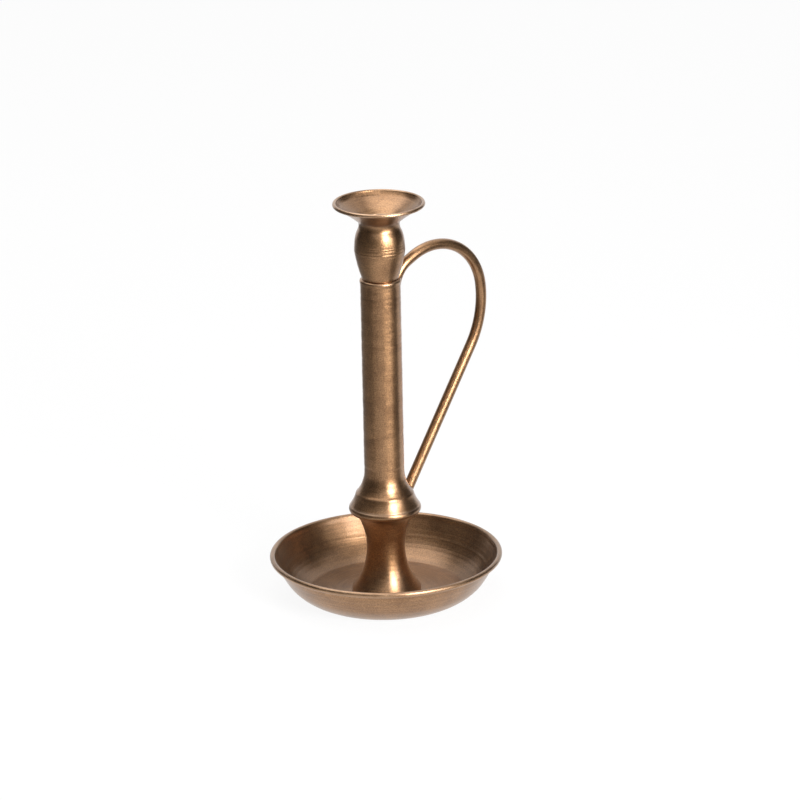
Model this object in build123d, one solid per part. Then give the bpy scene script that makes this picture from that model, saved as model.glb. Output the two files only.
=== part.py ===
from build123d import *
from math import cos, radians, sin, tan
import os

os.makedirs("parts", exist_ok=True)

# A tall chamberstick: a spun drip pan, a cast pedestal, a tubular stem, a turned candle cup and a
# bent rod handle, clamped together by one tie rod along the axis. Millimetres, Z up, with the origin
# on the axis in the table plane. The handle lies in the XZ plane, on the +X side.

# Fits and allowances
slip_fit = 0.15        # radial room where one piece centres another
thread_fit = 0.05      # radial room drawn between a thread and its nut or hole
rod_room = 0.35        # radial room round the tie rod where it passes through a piece
boss_room = 0.8        # room between the pan's boss and the inside of the pedestal
table_room = 1.2       # tail of the tie rod above the table
overrun = 4            # how far a cutting shape runs past what it cuts

# Drip pan, spun from sheet
pan_radius = 70        # outside of the rolled rim
pan_rim_height = 24    # table to the middle of the rolled rim
pan_bead = 1.65        # radius of the roll
pan_floor_radius = 46.9
pan_sheet = 1.1
pan_wall_angle = 22    # degrees above the floor, where the wall begins
pan_turn_out_share = 0.61     # where the bent stretch of the wall ends, outward and upward
pan_turn_up_share = 0.47

# Pedestal, cast hollow and turned outside
pedestal_height = 55.1
pedestal_wall = 2.4
pedestal_foot_radius = 20.8
pedestal_foot_edge = 2.2      # upright edge of the foot
pedestal_waist_radius = 11.5
pedestal_waist_share = 0.517  # height of the waist
pedestal_neck_radius = 14.7   # where the upper cove tightens under the flange
pedestal_neck_share = 0.824
flange_radius = 21.9
flange_edge = 2.6      # thickness at the edge
flange_round = 0.7     # rounding of the upper corner
pedestal_web = 7       # solid top that the tie rod passes through
spigot_height = 2      # raised ring that centres the bell of the stem
spigot_chamfer = 0.5

# Stem, one tube with its lower end flared to a bell and its mouth turned in
stem_length = 142
stem_radius = 12.1
stem_wall = 1.5
mouth_round = 1.5      # outer rounding of the mouth
mouth_land = 0.5       # flat crown of the mouth
seat_high = 0.9        # the cup sits on a cone between these two depths
seat_low = 2.3
lip_underside = 3.6    # depth where the turned-in lip has thinned to the wall
bell_radius = 21.9
bell_height = 22       # foot of the bell to the top of its flare
bell_edge = 1.2        # rounding of the lower edge
bell_edge_angle = 45   # how far up the rounding goes before the flare takes over
bell_rim_width = 3.1   # flat ring that stands on the pedestal
bell_ring_radius = 17.4       # small step part of the way down the flare
bell_ring_share = 0.373
bell_step = 0.5
bell_step_height = 1.5
bell_skirt_angle = 26  # degrees off upright, where the skirt below the step begins
bell_bore_share = 0.75 # where the flared bore meets the straight one

# Candle cup, turned from bar
cup_rise = 46.9        # mouth of the stem to the top of the cup
foot_radius = 9.2      # where the cup enters the stem
foot_depth = 4.5
foot_taper = 1.6       # how much narrower the foot is at its end
bulb_radius = 15.15
bulb_share = 0.375     # height of the widest ring
bulb_crease_angle = 6  # degrees that the upper half leans in from the widest ring
neck_radius = 12.35
neck_low_share = 0.652
neck_high_share = 0.722
dish_radius = 27.4     # outside of the rim
dish_bead = 1.2
dish_angle = 43        # degrees above level, where the underside of the dish leaves the neck
dish_step_radius = 21.6       # where the steep border of the dish meets its funnel
dish_step_share = 0.92
dish_lip_wall = 0.55   # half of the wall where the border meets the rim
funnel_share = 0.774
socket_radius = 11.25  # for a household candle of 22 mm
socket_depth = 22
socket_tip = 3         # cone left by the drill

# Handle, round rod bent in one plane and brazed on at both ends
handle_rod_radius = 3.25
handle_belly_out = 77.9       # corners of the bends, out from the axis
handle_crown_out = 71.5
handle_belly_share = 0.716    # heights of the corners along the stem
handle_crown_share = 1.227
handle_foot_share = 0.036
foot_run = 2           # how far the blank of the rod runs on into the bell before it is coped
hook_rise = 3          # last bend above the mouth of the stem
hook_out = 1.7         # last bend out from the tube
end_depth = 14.5       # end of the rod below the mouth of the stem
belly_bend_share = 0.26       # what the bends take of the run from belly to crown
crown_bend_share = 0.73
crown_back_share = 0.86       # what they may take of the run from crown to hook
hook_back_share = 0.13
hook_bend_share = 0.434       # what the last bend takes of the last run

# Tie rod and fasteners, M6
rod_radius = 3
rod_grip = 9           # thread inside the cup
rod_hole_spare = 2     # tapped hole beyond the end of the rod
rod_chamfer = 0.5
rod_tail = 1           # thread left showing below the nut
nut_across_flats = 10
nut_height = 5
nut_chamfer = 0.6
washer_radius = 9
washer_thickness = 1.6
washer_margin = 2.6    # flat of the boss outside the washer
spring_washer_radius = 5.6
spring_washer_thickness = 1.6
spring_washer_gap = 1.2

# Heights that follow
spring_washer_base = table_room + rod_tail + nut_height
washer_base = spring_washer_base + spring_washer_thickness
boss_underside = washer_base + washer_thickness
boss_top = boss_underside + pan_sheet
pedestal_top = pan_sheet + pedestal_height
pedestal_waist = pan_sheet + pedestal_height * pedestal_waist_share
web_underside = pedestal_top - pedestal_web
stem_top = pedestal_top + stem_length
cup_top = stem_top + cup_rise
foot_end = stem_top - foot_depth
socket_mouth = stem_top + cup_rise * funnel_share
socket_floor = socket_mouth - socket_depth

# Radii that follow
rod_hole_radius = rod_radius + rod_room
thread_hole_radius = rod_radius + thread_fit
pedestal_bore = pedestal_waist_radius - pedestal_wall
pedestal_recess = pedestal_foot_radius - pedestal_wall
boss_base_radius = pedestal_recess - boss_room
boss_top_radius = washer_radius + washer_margin
bell_mouth = bell_radius - bell_rim_width
spigot_radius = bell_mouth - slip_fit
stem_bore = stem_radius - stem_wall
pan_bead_out = pan_radius - pan_bead
dish_bead_out = dish_radius - dish_bead


def slope(degrees):
    """Direction that climbs outward at an angle above level."""
    return cos(radians(degrees)), sin(radians(degrees))


def outline(*curves):
    """Fill the closed outline that the curves, drawn as (radius, height), make together."""
    return Face(Wire([edge for curve in curves for edge in curve.edges()]))


def turned(section):
    """Revolve a section drawn as (radius, height) about Z."""
    return revolve(Plane.XZ * section, axis=Axis.Z)


def ring(outer, inner, base, thickness):
    """A flat ring about Z."""
    return Pos(0, 0, base) * extrude(Circle(outer) - Circle(inner), thickness)


def foot_radius_at(depth):
    """Radius of the cup's tapered foot at a depth below the mouth of the stem."""
    return foot_radius - foot_taper * depth / foot_depth


def drip_pan():
    """One sheet: pierced boss, flat floor, wall bent up and out, and a rolled rim."""
    floor_edge = (pan_floor_radius, pan_sheet)
    turn_out = (pan_bead_out - pan_floor_radius) * pan_turn_out_share
    turn_up = (pan_rim_height - pan_sheet) * pan_turn_up_share
    turn = (pan_floor_radius + turn_out, pan_sheet + turn_up)
    base = Polyline(
        (rod_hole_radius, boss_top),
        (boss_top_radius, boss_top),
        (boss_base_radius, pan_sheet),
        floor_edge,
    )
    bend = TangentArc(floor_edge, turn, tangent=slope(pan_wall_angle))
    wall = Line(turn, (pan_bead_out, pan_rim_height))
    line = Wire([*base.edges(), *bend.edges(), *wall.edges()])
    sheet = Face(line.offset_2d(pan_sheet, side=Side.RIGHT))
    rim = Pos(pan_bead_out, pan_rim_height) * Circle(pan_bead)
    return turned(sheet) + turned(rim)


def pedestal():
    """Spool with a long lower cove and a tighter one under its flange, cored from below."""
    foot_corner = (pedestal_foot_radius, pan_sheet + pedestal_foot_edge)
    waist = (pedestal_waist_radius, pedestal_waist)
    neck = (pedestal_neck_radius, pan_sheet + pedestal_height * pedestal_neck_share)
    flange_corner = (flange_radius, pedestal_top - flange_edge)
    flange_shoulder = (flange_radius, pedestal_top - flange_round)
    flange_crown = (flange_radius - flange_round, pedestal_top)
    lower_cove = TangentArc(waist, foot_corner, tangent=(0, -1))
    middle_cove = TangentArc(waist, neck, tangent=(0, 1))
    upper_cove = TangentArc(neck, flange_corner, tangent=middle_cove % 1)
    rounding = TangentArc(flange_shoulder, flange_crown, tangent=(0, 1))
    edge = Line(flange_corner, flange_shoulder)
    inside = Polyline(
        foot_corner,
        (pedestal_foot_radius, pan_sheet),
        (pedestal_recess, pan_sheet),
        (boss_top_radius + boss_room, boss_top + boss_room),
        (pedestal_bore, pedestal_waist),
        (pedestal_bore, web_underside),
        (rod_hole_radius, web_underside),
        (rod_hole_radius, pedestal_top + spigot_height),
        (spigot_radius - spigot_chamfer, pedestal_top + spigot_height),
        (spigot_radius, pedestal_top + spigot_height - spigot_chamfer),
        (spigot_radius, pedestal_top),
        flange_crown,
    )
    return turned(outline(lower_cove, middle_cove, upper_cove, edge, rounding, inside))


def stem_outside():
    """Outer line of the stem from the underside of the bell to the crown of the mouth."""
    edge_centre = (bell_radius - bell_edge, pedestal_top + bell_edge)
    edge = CenterArc(edge_centre, bell_edge, -90, 90 + bell_edge_angle)
    ring_height = pedestal_top + bell_height * bell_ring_share
    ring_top = (bell_ring_radius, ring_height)
    ring_base = (bell_ring_radius + bell_step, ring_height - bell_step_height)
    flare_top = (stem_radius, pedestal_top + bell_height)
    shoulder = (stem_radius, stem_top - mouth_round)
    skirt = TangentArc(ring_base, edge @ 1, tangent=slope(bell_skirt_angle - 90))
    step = Line(ring_base, ring_top)
    flare = TangentArc(flare_top, ring_top, tangent=(0, -1))
    tube = Line(flare_top, shoulder)
    crown = TangentArc(shoulder, (stem_radius - mouth_round, stem_top), tangent=(0, 1))
    return edge, skirt, step, flare, tube, crown


def stem():
    """Tube with a bell below and a turned-in lip above, whose cone carries the cup."""
    outside = stem_outside()
    flare_bore_top = pedestal_top + bell_height * bell_bore_share
    inside = Polyline(
        outside[-1] @ 1,
        (stem_radius - mouth_round - mouth_land, stem_top),
        (foot_radius_at(seat_high), stem_top - seat_high),
        (foot_radius_at(seat_low), stem_top - seat_low),
        (stem_bore, stem_top - lip_underside),
        (stem_bore, flare_bore_top),
        (bell_mouth, pedestal_top + spigot_height + rod_room),
        (bell_mouth, pedestal_top),
        outside[0] @ 0,
    )
    return turned(outline(*outside, inside))


def stem_envelope():
    """The stem's outer form without its bore, to cope the handle's ends against."""
    outside = stem_outside()
    core = Polyline(outside[-1] @ 1, (0, stem_top), (0, pedestal_top), outside[0] @ 0)
    return turned(outline(*outside, core))


def candle_cup():
    """Urn with a drilled socket, a shallow dish with a beaded rim, and a tapped foot."""
    foot = (foot_radius, stem_top)
    bulb = (bulb_radius, stem_top + cup_rise * bulb_share)
    neck_low = (neck_radius, stem_top + cup_rise * neck_low_share)
    neck_high = (neck_radius, stem_top + cup_rise * neck_high_share)
    bead_height = cup_top - dish_bead
    dish_under = (dish_bead_out, bead_height - dish_lip_wall)
    dish_over = (dish_bead_out, bead_height + dish_lip_wall)
    lower_bulb = TangentArc(bulb, foot, tangent=(0, -1))
    upper_bulb = TangentArc(bulb, neck_low, tangent=slope(90 + bulb_crease_angle))
    neck = Line(neck_low, neck_high)
    underside = TangentArc(neck_high, dish_under, tangent=slope(dish_angle))
    inside = Polyline(
        dish_under,
        dish_over,
        (dish_step_radius, stem_top + cup_rise * dish_step_share),
        (socket_radius, socket_mouth),
        (socket_radius, socket_floor),
        (0, socket_floor - socket_tip),
        (0, foot_end),
        (foot_radius - foot_taper, foot_end),
        foot,
    )
    rim = Pos(dish_bead_out, bead_height) * Circle(dish_bead)
    body = outline(lower_bulb, upper_bulb, neck, underside, inside)
    tapped_hole = Pos(0, 0, foot_end) * extrude(Circle(thread_hole_radius), rod_grip + rod_hole_spare)
    return turned(body) + turned(rim) - tapped_hole


def bend_radius(before, corner, after, tangent_length):
    """Radius of the bend that takes a given length off each run beside a corner."""
    turn = (before - corner).get_angle(after - corner)
    return tangent_length * tan(radians(turn / 2))


def handle_path():
    """Straight leg, wide belly, crown and hook, as runs joined by tangent arcs."""
    foot = Vector(bell_ring_radius, 0, pedestal_top + stem_length * handle_foot_share)
    belly = Vector(handle_belly_out, 0, pedestal_top + stem_length * handle_belly_share)
    crown = Vector(handle_crown_out, 0, pedestal_top + stem_length * handle_crown_share)
    hook = Vector(stem_radius + hook_out, 0, stem_top + hook_rise)
    end = Vector(stem_radius - handle_rod_radius, 0, stem_top - end_depth)
    start = foot + (foot - belly).normalized() * foot_run
    outer_run = (crown - belly).length
    back_run = (hook - crown).length
    last_run = (end - hook).length
    crown_bend = min(outer_run * crown_bend_share, back_run * crown_back_share)
    hook_bend = min(last_run * hook_bend_share, back_run * hook_back_share)
    radii = [
        bend_radius(start, belly, crown, outer_run * belly_bend_share),
        bend_radius(belly, crown, hook, crown_bend),
        bend_radius(crown, hook, end, hook_bend),
    ]
    return FilletPolyline(start, belly, crown, hook, end, radius=radii)


def handle():
    """Bent rod, its ends coped to the bell and to the tube just under the mouth."""
    path = handle_path()
    section = Plane(origin=path @ 0, z_dir=path % 0) * Circle(handle_rod_radius)
    return sweep(section, path) - stem_envelope()


def tie_rod():
    """Rod from the tapped foot of the cup to the nut under the pan."""
    top = foot_end + rod_grip
    rod = Pos(0, 0, table_room) * extrude(Circle(rod_radius), top - table_room)
    return chamfer(rod.edges().filter_by(GeomType.CIRCLE), rod_chamfer)


def base_nut():
    """Hexagon nut with the corners of its lower face turned off."""
    hexagon = RegularPolygon(nut_across_flats / 2, 6, major_radius=False)
    base = spring_washer_base - nut_height
    blank = Pos(0, 0, base) * extrude(hexagon - Circle(thread_hole_radius), nut_height)
    corner_radius = nut_across_flats / 2 / cos(radians(30))
    turned_blank = extrude(Circle(corner_radius), nut_height)
    turned_blank = chamfer(turned_blank.edges().group_by(Axis.Z)[0], nut_chamfer)
    return blank & (Pos(0, 0, base) * turned_blank)


def spring_washer():
    """Split ring, pressed flat under the nut."""
    whole = ring(spring_washer_radius, rod_hole_radius, spring_washer_base, spring_washer_thickness)
    split = Box(spring_washer_radius + overrun, spring_washer_gap, spring_washer_thickness)
    place = Pos((spring_washer_radius + overrun) / 2, 0, spring_washer_base + spring_washer_thickness / 2)
    return whole - place * split


nodes = {
    "drip_pan": drip_pan(),
    "pedestal": pedestal(),
    "stem": stem(),
    "candle_cup": candle_cup(),
    "handle": handle(),
    "tie_rod": tie_rod(),
    "flat_washer": ring(washer_radius, rod_hole_radius, washer_base, washer_thickness),
    "spring_washer": spring_washer(),
    "base_nut": base_nut(),
}
for name, shape in nodes.items():
    export_step(shape, f"parts/{name}.step")
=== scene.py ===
# %% [markdown]
# # A chamberstick of antiqued brass
# A chamberstick is a candlestick made to be carried up to bed: a pan catches the wax, a loop takes
# the finger. This one is a pile of turned pieces on one tie rod. The CAD frame says where each piece
# is. The lesson builds the visible metal around it, piece by piece, with the marks that spinning,
# turning, bending and brazing leave behind.

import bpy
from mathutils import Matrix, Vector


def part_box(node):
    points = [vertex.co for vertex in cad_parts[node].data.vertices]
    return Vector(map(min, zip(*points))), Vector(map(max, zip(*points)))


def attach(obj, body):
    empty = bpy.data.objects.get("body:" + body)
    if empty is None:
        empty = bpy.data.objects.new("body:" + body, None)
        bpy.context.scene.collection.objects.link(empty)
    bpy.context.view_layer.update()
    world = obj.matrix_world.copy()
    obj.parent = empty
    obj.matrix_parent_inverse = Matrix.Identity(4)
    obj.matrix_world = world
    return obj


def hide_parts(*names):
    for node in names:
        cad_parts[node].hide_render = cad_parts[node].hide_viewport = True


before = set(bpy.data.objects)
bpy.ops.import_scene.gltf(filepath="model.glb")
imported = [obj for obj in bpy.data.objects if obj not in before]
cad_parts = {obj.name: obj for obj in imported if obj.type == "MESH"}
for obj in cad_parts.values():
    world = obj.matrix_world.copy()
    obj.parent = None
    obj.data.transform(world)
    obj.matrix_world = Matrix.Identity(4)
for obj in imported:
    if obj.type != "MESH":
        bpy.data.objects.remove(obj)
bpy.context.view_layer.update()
print("the frame has", len(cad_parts), "nodes")

# %% [markdown]
# ## Sizes
# Blender works in metres here, and a maker thinks in millimetres, so every size below is in
# millimetres and one value turns them to metres. Heights that the frame knows are read from it. The
# inner sizes, such as the waist of the pedestal, can't be read from a box, so they have names.

# %% Units and heights from the frame
import math

import bmesh
import bpy
import numpy as np
from mathutils import Matrix, Vector, noise

mm = 0.001
tiny = 1e-6


def span(node):
    """Lowest and highest point of a CAD node, in millimetres."""
    low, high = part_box(node)
    return low.z / mm, high.z / mm


table, pan_top = span("drip_pan")
pedestal_foot, spigot_top = span("pedestal")
bell_foot, mouth = span("stem")
cup_foot, cup_top = span("candle_cup")
pan_radius = -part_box("drip_pan")[0].x / mm
flange_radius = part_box("pedestal")[1].x / mm
bell_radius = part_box("stem")[1].x / mm
dish_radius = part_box("candle_cup")[1].x / mm
print("pedestal stands at", round(pedestal_foot, 2), "bell at", round(bell_foot, 2))
print("mouth of the stem at", round(mouth, 2), "top of the cup at", round(cup_top, 2))

# %% [markdown]
# ## Drawing an outline
# Everything but the handle is turned or spun, so its whole shape is one outline spun about the axis.
# The outline could be typed as a long list of points, but a turner thinks in straight runs and arcs
# that flow into each other. The small class below draws those runs as (radius, height). It goes
# round with the metal on its left, so that the outside of the piece is always on its right.

# %% An outline of runs and arcs
arc_turn = 8     # degrees that an arc may turn from one point to the next
bead_turn = 9    # the same for a bead
edge_shares = (0, 0.2, 0.4, 0.6, 0.8, 1)   # places of the points on a rounded edge


class Outline:
    """Section of a turned piece, drawn run by run as (radius, height) in millimetres."""

    def __init__(self, radius, height, step=0.7):
        self.points = [(radius, height)]
        self.edges = {}
        self.heading = 0.0
        self.step = step

    def line(self, radius, height):
        """Straight run to a point."""
        start = self.points[-1]
        out, up = radius - start[0], height - start[1]
        count = max(1, round(math.dist(start, (radius, height)) / self.step))
        for i in range(1, count + 1):
            share = i / count
            self.points.append((start[0] + out * share, start[1] + up * share))
        self.heading = math.atan2(up, out)
        return self

    def arc(self, radius, height, leave=None, arrive=None):
        """Arc to a point. It goes straight on from the last run, unless it has a heading to leave or
        arrive at, in degrees."""
        start = self.points[-1]
        chord = math.dist(start, (radius, height))
        toward = math.atan2(height - start[1], radius - start[0])
        heading = self.heading if leave is None else math.radians(leave)
        if arrive is not None:
            heading = 2 * toward - math.radians(arrive)
        half = math.remainder(toward - heading, math.tau)
        bent = abs(half) > tiny
        length = chord * half / math.sin(half) if bent else chord
        count = max(3, math.ceil(length / self.step), math.ceil(2 * abs(math.degrees(half)) / arc_turn))
        for i in range(1, count + 1):
            share = i / count
            reach = chord * (math.sin(half * share) / math.sin(half) if bent else share)
            angle = heading + half * share
            self.points.append((start[0] + reach * math.cos(angle), start[1] + reach * math.sin(angle)))
        self.heading = heading + 2 * half
        return self

    def around(self, centre, radius, first, last):
        """Stretch of a circle round a centre, between two angles in degrees."""
        count = math.ceil((last - first) / bead_turn)
        for i in range(count + 1):
            angle = math.radians(first + (last - first) * i / count)
            self.points.append((centre[0] + radius * math.cos(angle), centre[1] + radius * math.sin(angle)))
        self.heading = math.radians(last + 90)
        return self

    def soften(self, size):
        """Mark the last point as an edge whose sharpness is broken by about this much."""
        self.edges[len(self.points) - 1] = size
        return self

    def drawn(self):
        """The finished points, with the marked edges rounded."""
        points = [np.array(p) for p in self.points]
        made, skip = [], set()
        for index, size in self.edges.items():
            for way in (-1, 1):
                near = (index + way) % len(points)
                while math.dist(points[near], points[index]) < size and near != index:
                    skip.add(near)
                    near = (near + way) % len(points)
        for index, point in enumerate(points):
            if index in skip:
                continue
            if index not in self.edges:
                made.append(point)
                continue
            ends = []
            for way in (-1, 1):
                near = (index + way) % len(points)
                while near in skip:
                    near = (near + way) % len(points)
                toward = points[near] - point
                ends.append(point + toward / np.linalg.norm(toward) * self.edges[index])
            for s in edge_shares:
                made.append((1 - s) ** 2 * ends[0] + 2 * s * (1 - s) * point + s**2 * ends[1])
        return np.array(made)


# %% [markdown]
# ## From outline to metal
# One function lays a skin over a grid of points, and every piece of this lesson goes through it. It
# also stores two numbers per point in the mesh: how sharply the section bulges there, and how deep a
# hollow it makes. Bulging edges are painted paler, partly rubbed wear and partly a painted highlight, and the
# dark wax of the antiquing stays in the hollows, so the finish can read those two numbers instead of
# guessing.

# %% A skin over a grid of points
wear_and_highlight_bend = (0.3, 1.0)     # from the bend where the rubbed wear and painted highlight start to show to where they show fully
hollow_bend = (0.15, 0.75)   # the same for wax that stays in a hollow, in radians a millimetre


def store(mesh, name, values, columns):
    """Store one value per row of points as an attribute of the mesh."""
    layer = mesh.attributes.new(name, "FLOAT", "POINT")
    layer.data.foreach_set("value", np.repeat(values, columns).astype(np.float32))


def skin(name, grid, close_rows=False, close_columns=False, cap=False, along=None, convex=None):
    """Mesh over rows and columns of points in millimetres. Along is in millimetres, one value a row."""
    rows, columns = grid.shape[:2]
    index = np.arange(rows * columns).reshape(rows, columns)
    row_steps = rows if close_rows else rows - 1
    column_steps = columns if close_columns else columns - 1
    faces, corners = [], []
    length = np.zeros(rows + 1) if along is None else np.append(along, along[-1]) * mm
    for i in range(row_steps):
        below, above = index[i], index[(i + 1) % rows]
        for j in range(column_steps):
            k = (j + 1) % columns
            faces.append((below[j], below[k], above[k], above[j]))
            left, right = j / column_steps, (j + 1) / column_steps
            low, high = length[i], length[i + 1]
            corners.extend([(left, low), (right, low), (right, high), (left, high)])
    if cap:
        faces.extend([tuple(index[0][::-1]), tuple(index[-1])])
        corners.extend([(0.0, 0.0)] * (2 * columns))
    mesh = bpy.data.meshes.new(name)
    mesh.from_pydata((grid.reshape(-1, 3) * mm).tolist(), [], [tuple(map(int, f)) for f in faces])
    layer = mesh.uv_layers.new(name="along_the_cut")
    layer.data.foreach_set("uv", np.array(corners, np.float32).ravel())
    if convex is not None:
        store(mesh, "wear_and_highlight", np.interp(convex, wear_and_highlight_bend, (0, 1)), columns)
        store(mesh, "hollow", np.interp(-convex, hollow_bend, (0, 1)), columns)
    mesh.polygons.foreach_set("use_smooth", [True] * len(faces))
    mesh.validate()
    piece = bpy.data.objects.new(name, mesh)
    bpy.context.scene.collection.objects.link(piece)
    return piece


# %% Ripples and spinning
bend_window = 0.9   # millimetres of outline over which a bend is averaged
wave_seed = 7.3     # keeps the noises of two waves apart


def lengths(points, closed):
    """Distance along an outline at each point, and its whole length."""
    steps = np.linalg.norm(np.roll(points, -1, axis=0) - points, axis=1)
    return np.concatenate([[0], np.cumsum(steps[:-1])]), steps.sum() if closed else steps[:-1].sum()


def bend(points, closed):
    """How fast the outline turns at each point, in radians a millimetre, positive where it is convex."""
    ahead = np.roll(points, -1, axis=0) - points
    heading = np.arctan2(ahead[:, 1], ahead[:, 0])
    turn = (heading - np.roll(heading, 1) + math.pi) % math.tau - math.pi
    if not closed:
        turn[[0, -1]] = 0
    place, total = lengths(points, closed)
    near = np.abs(place[:, None] - place[None, :])
    if closed:
        near = np.minimum(near, total - near)
    weight = np.clip(1 - near / bend_window, 0, 1) / bend_window
    return weight @ turn


def rippled(points, closed, waves, low, high):
    """Move an outline by soft waves, each a (pitch, depth) in millimetres, between two heights. Half a depth
    is taken off, so that the waves cut into the metal more than they stand out."""
    place, _ = lengths(points, closed)
    ahead = np.roll(points, -1, axis=0) - np.roll(points, 1, axis=0)
    if not closed:
        ahead[0], ahead[-1] = points[1] - points[0], points[-1] - points[-2]
    ahead /= np.maximum(np.linalg.norm(ahead, axis=1), tiny * mm)[:, None]
    outward = np.stack([ahead[:, 1], -ahead[:, 0]], axis=1)
    offset = np.zeros(len(points))
    for number, (pitch, depth) in enumerate(waves):
        offset += [
            depth * (noise.noise(Vector((s / pitch * 2, wave_seed * number, 0.5))) - 0.5) for s in place
        ]
    inside = (points[:, 1] > low) & (points[:, 1] < high)
    return points + outward * (offset * inside)[:, None]


def spin(name, points, closed=True, segments=208):
    """Spin an outline about the axis into one watertight piece."""
    angle = np.arange(segments) * math.tau / segments
    around = np.stack([np.cos(angle), np.sin(angle)], axis=1)
    flat = points[:, 0, None, None] * around[None]
    height = np.repeat(points[:, 1, None, None], segments, axis=1)
    grid = np.concatenate([flat, height], axis=2)
    along, _ = lengths(points, closed)
    turned = bend(points, closed)
    piece = skin(name, grid, close_rows=closed, close_columns=True, along=along, convex=turned)
    if not closed:
        work = bmesh.new()
        work.from_mesh(piece.data)
        bmesh.ops.remove_doubles(work, verts=work.verts, dist=tiny / 10)
        work.to_mesh(piece.data)
        work.free()
    size = [round(v / mm, 1) for v in piece.dimensions]
    print(f"{name}: {len(piece.data.polygons)} faces, {size} mm")
    return piece


# %% [markdown]
# ## Building materials from nodes
# A material here is a small network: noises and attributes flow into a metal shader. Wiring it in the
# editor is slow to repeat, so one function adds a node, gives it its settings and joins its inputs.
# Colours are written as hex values, the way a colour picker shows them, and one function turns them
# to the linear values that light is added up in.

# %% Colour and node helpers
map_limits = (1, 2, 3, 4)   # sockets of a Map Range node: from low, from high, to low, to high
first_colour, second_colour, mixed_colour = 6, 7, 2   # inputs and output of a Mix node set to colour
noise_low, noise_high = 0.3, 0.7   # a noise stays between these two nearly everywhere


def colour(code):
    """Linear colour of an sRGB hex value, by the curve of the sRGB standard."""
    parts = [int(code[i:i + 2], 16) / 255 for i in (1, 3, 5)]
    return [*(c / 12.92 if c <= 0.04045 else ((c + 0.055) / 1.055) ** 2.4 for c in parts), 1.0]


def add(tree, kind, settings=(), links=()):
    """Add a node. Settings are (option or socket, value) pairs, links are (socket, source) pairs. A node
    that is given as a source stands for its first output."""
    made = tree.nodes.new("ShaderNode" + kind)
    for key, value in settings:
        if isinstance(key, str) and hasattr(made, key):
            setattr(made, key, value)
        else:
            made.inputs[key].default_value = value
    for key, source in links:
        output = source.outputs[0] if isinstance(source, bpy.types.Node) else source
        tree.links.new(output, made.inputs[key])
    return made


def new_material(name):
    """An empty node material and its tree."""
    material = bpy.data.materials.new(name)
    material.use_nodes = True
    material.node_tree.nodes.clear()
    return material, material.node_tree


# %% [markdown]
# ## Antiqued brass
# The real metal is brass, darkened in a chemical bath until it is a brown bronze, rubbed back by hand
# and sealed with a thin satin lacquer. The bath bites unevenly, which gives slow clouds of tone and a
# fine powdery grain. The faces that look up are darker by a painted shade. The tool leaves rings along
# the cut, too shallow to feel, that the eye reads in the reflections: they smear each reflection across
# them into a band. Edges are lighter, partly rubbed wear and partly a painted highlight; hollows stay nearly
# black.
#
# A plain brown paint would miss all that, because metal has no colour of its own under the light: it
# tints what it mirrors. So the shader is fully metallic, the clouds change the tint, and the grain and
# the rings change the roughness and tilt the surface by a bump. The anisotropy makes the smear, along
# the direction stored in the UV map. The lacquer is the coat on top, whose reflections stay white.

# %% Antiqued brass, turned, spun, cast or drawn
grain_size = 0.7     # real grain is a tenth of this, drawn this coarse so that it shows in the picture
grain_depth = 0.02
cloud_size = 14.0
ring_wander = 1.6    # how much a turned ring changes on its way round the piece
die_lines = 18.0     # how many drawing lines lie side by side round the rod
bronze = "#a57d57"
bath_dark = "#7f5a39"
# paler brass for convex edges: partly rubbed wear, partly a painted highlight
wear_and_highlight_brass = "#c9a98c"
hollow_wax = "#2b1b10"
wax_cover = 0.8
cloud_tones = (0.3, 0.62, 0.35, 1.0)    # the range of the noise, then how much bronze shows at its ends
speck_tones = (noise_low, noise_high, 0.66, 1.26)
wear_and_highlight_patches = (0.35, 0.65, 0.2, 0.65)   # the rubbed wear and painted highlight are patchy, and follow the clouds
rough_patches = (0.45, 1.05)   # the range of grain and clouds together
painted_shade_tilt = (0.1, 0.6)   # how far a face looks up where the painted shade starts to show, and shows fully
satin = (0.29, 0.38)     # roughness under the lacquer, from the smoothest spots to the dullest
print("grain", grain_size, "mm and clouds", cloud_size, "mm across")


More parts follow.
